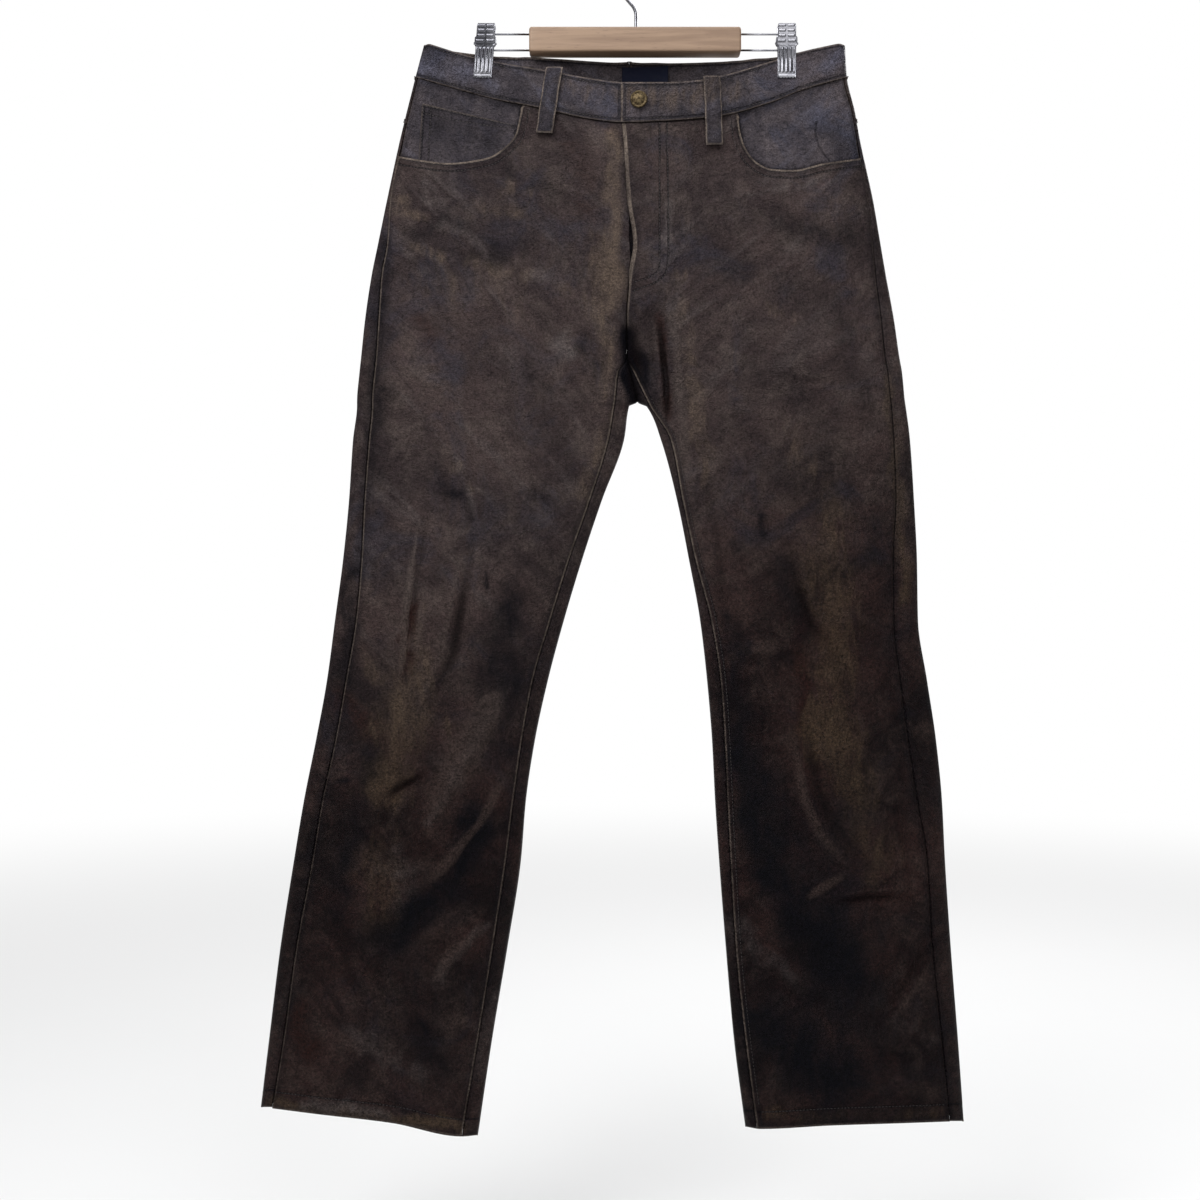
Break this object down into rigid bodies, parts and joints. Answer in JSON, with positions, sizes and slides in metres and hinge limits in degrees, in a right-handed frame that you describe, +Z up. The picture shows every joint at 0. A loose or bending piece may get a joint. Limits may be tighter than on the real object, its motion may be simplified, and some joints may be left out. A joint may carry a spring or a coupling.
{
  "type": "leather trousers on clip hanger",
  "caption": "Worn dark brown leather five-pocket trousers hanging from a wooden bar hanger by two chromed clips on the waistband.",
  "frame": {"origin": "inner top of the hanger's hook, where a rail carries it", "axes": "+Z up along the hanging garment, +Y towards the garment's back, +X towards the wearer's left leg"},
  "size_m": [0.7029, 0.0652, 1.1822],
  "materials": {
    "leather": "worn, waxy, mottled",
    "trim_leather": "worn, greyer, rubbed edges",
    "label_cloth": "woven, plain",
    "button_brass": "aged",
    "bar_wood": "clear matt",
    "chromed_wire": "polished"
  },
  "bodies": {
    "root": {"back_left": "leather", "back_pocket_left": "leather", "back_pocket_right": "leather", "back_right": "leather", "belt_loop_back_centre": "trim_leather", "belt_loop_back_left": "trim_leather", "belt_loop_back_right": "trim_leather", "belt_loop_front_left": "trim_leather", "belt_loop_front_right": "trim_leather", "button": "button_brass", "clip_left_back": "chromed_wire", "clip_left_front": "chromed_wire", "clip_left_pin": "chromed_wire", "clip_right_back": "chromed_wire", "clip_right_front": "chromed_wire", "clip_right_pin": "chromed_wire", "coin_pocket": "trim_leather", "fly_shield": "leather", "front_left": "leather", "front_right": "leather", "hanger_arm_left": "chromed_wire", "hanger_arm_right": "chromed_wire", "hanger_bar": "bar_wood", "hanger_hook": "chromed_wire", "label": "label_cloth", "pocket_facing_left": "trim_leather", "pocket_facing_right": "trim_leather", "waistband_left": "trim_leather", "waistband_right": "trim_leather", "yoke_left": "leather", "yoke_right": "leather"}
  },
  "joints": []
}
